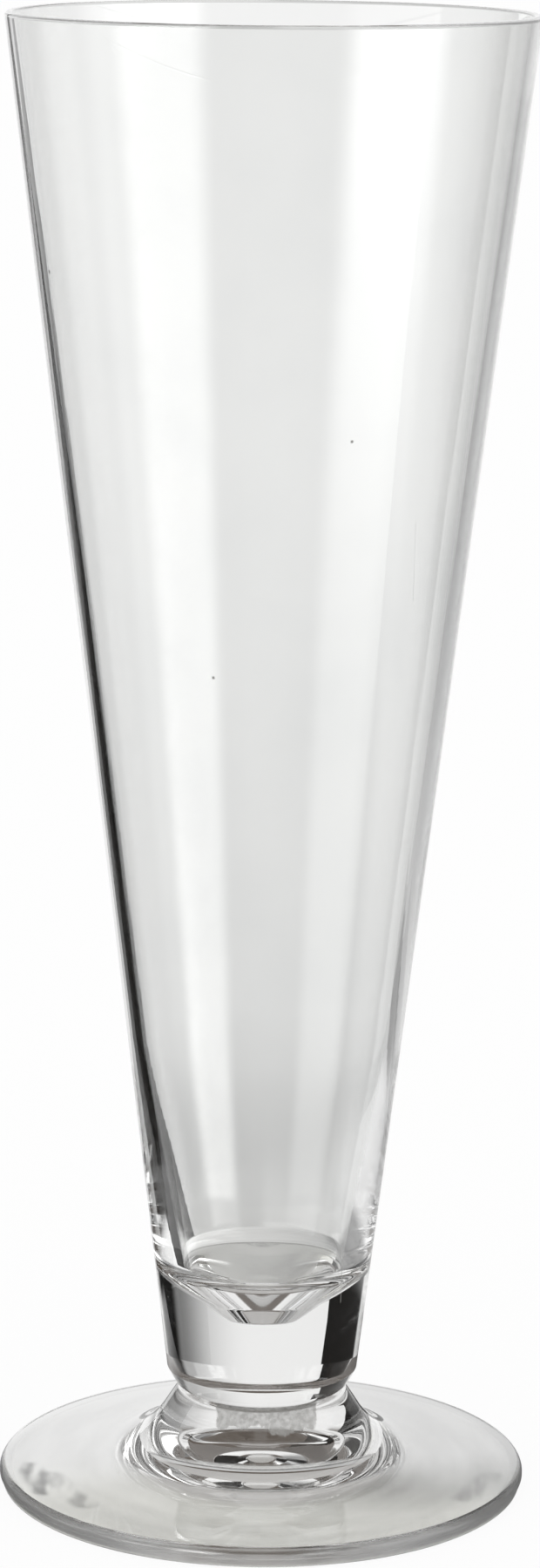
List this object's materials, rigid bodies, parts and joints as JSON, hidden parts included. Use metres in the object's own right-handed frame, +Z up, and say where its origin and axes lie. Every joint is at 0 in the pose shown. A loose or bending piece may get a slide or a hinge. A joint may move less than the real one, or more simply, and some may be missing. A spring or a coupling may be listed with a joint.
{
  "type": "pilsner glass",
  "caption": "Tall conical pilsner glass of clear plastic with a solid plug base, cemented to a round dished foot, for serving beer.",
  "frame": {"origin": "centre of the standing ring under the foot, on the surface that the glass stands on", "axes": "+Z up along the axis of revolution; X and Y are arbitrary because the glass is round"},
  "size_m": [0.072, 0.072, 0.2],
  "materials": {
    "clear_bowl": "clear, polished, with faint handling scratches",
    "clear_foot": "clear, polished, parting line round the edge",
    "clear_cement": "clear cured cement with a dull patch that is not fully wetted"
  },
  "bodies": {
    "root": {"bowl": "clear_bowl", "cement_film": "clear_cement", "foot": "clear_foot"}
  },
  "joints": []
}
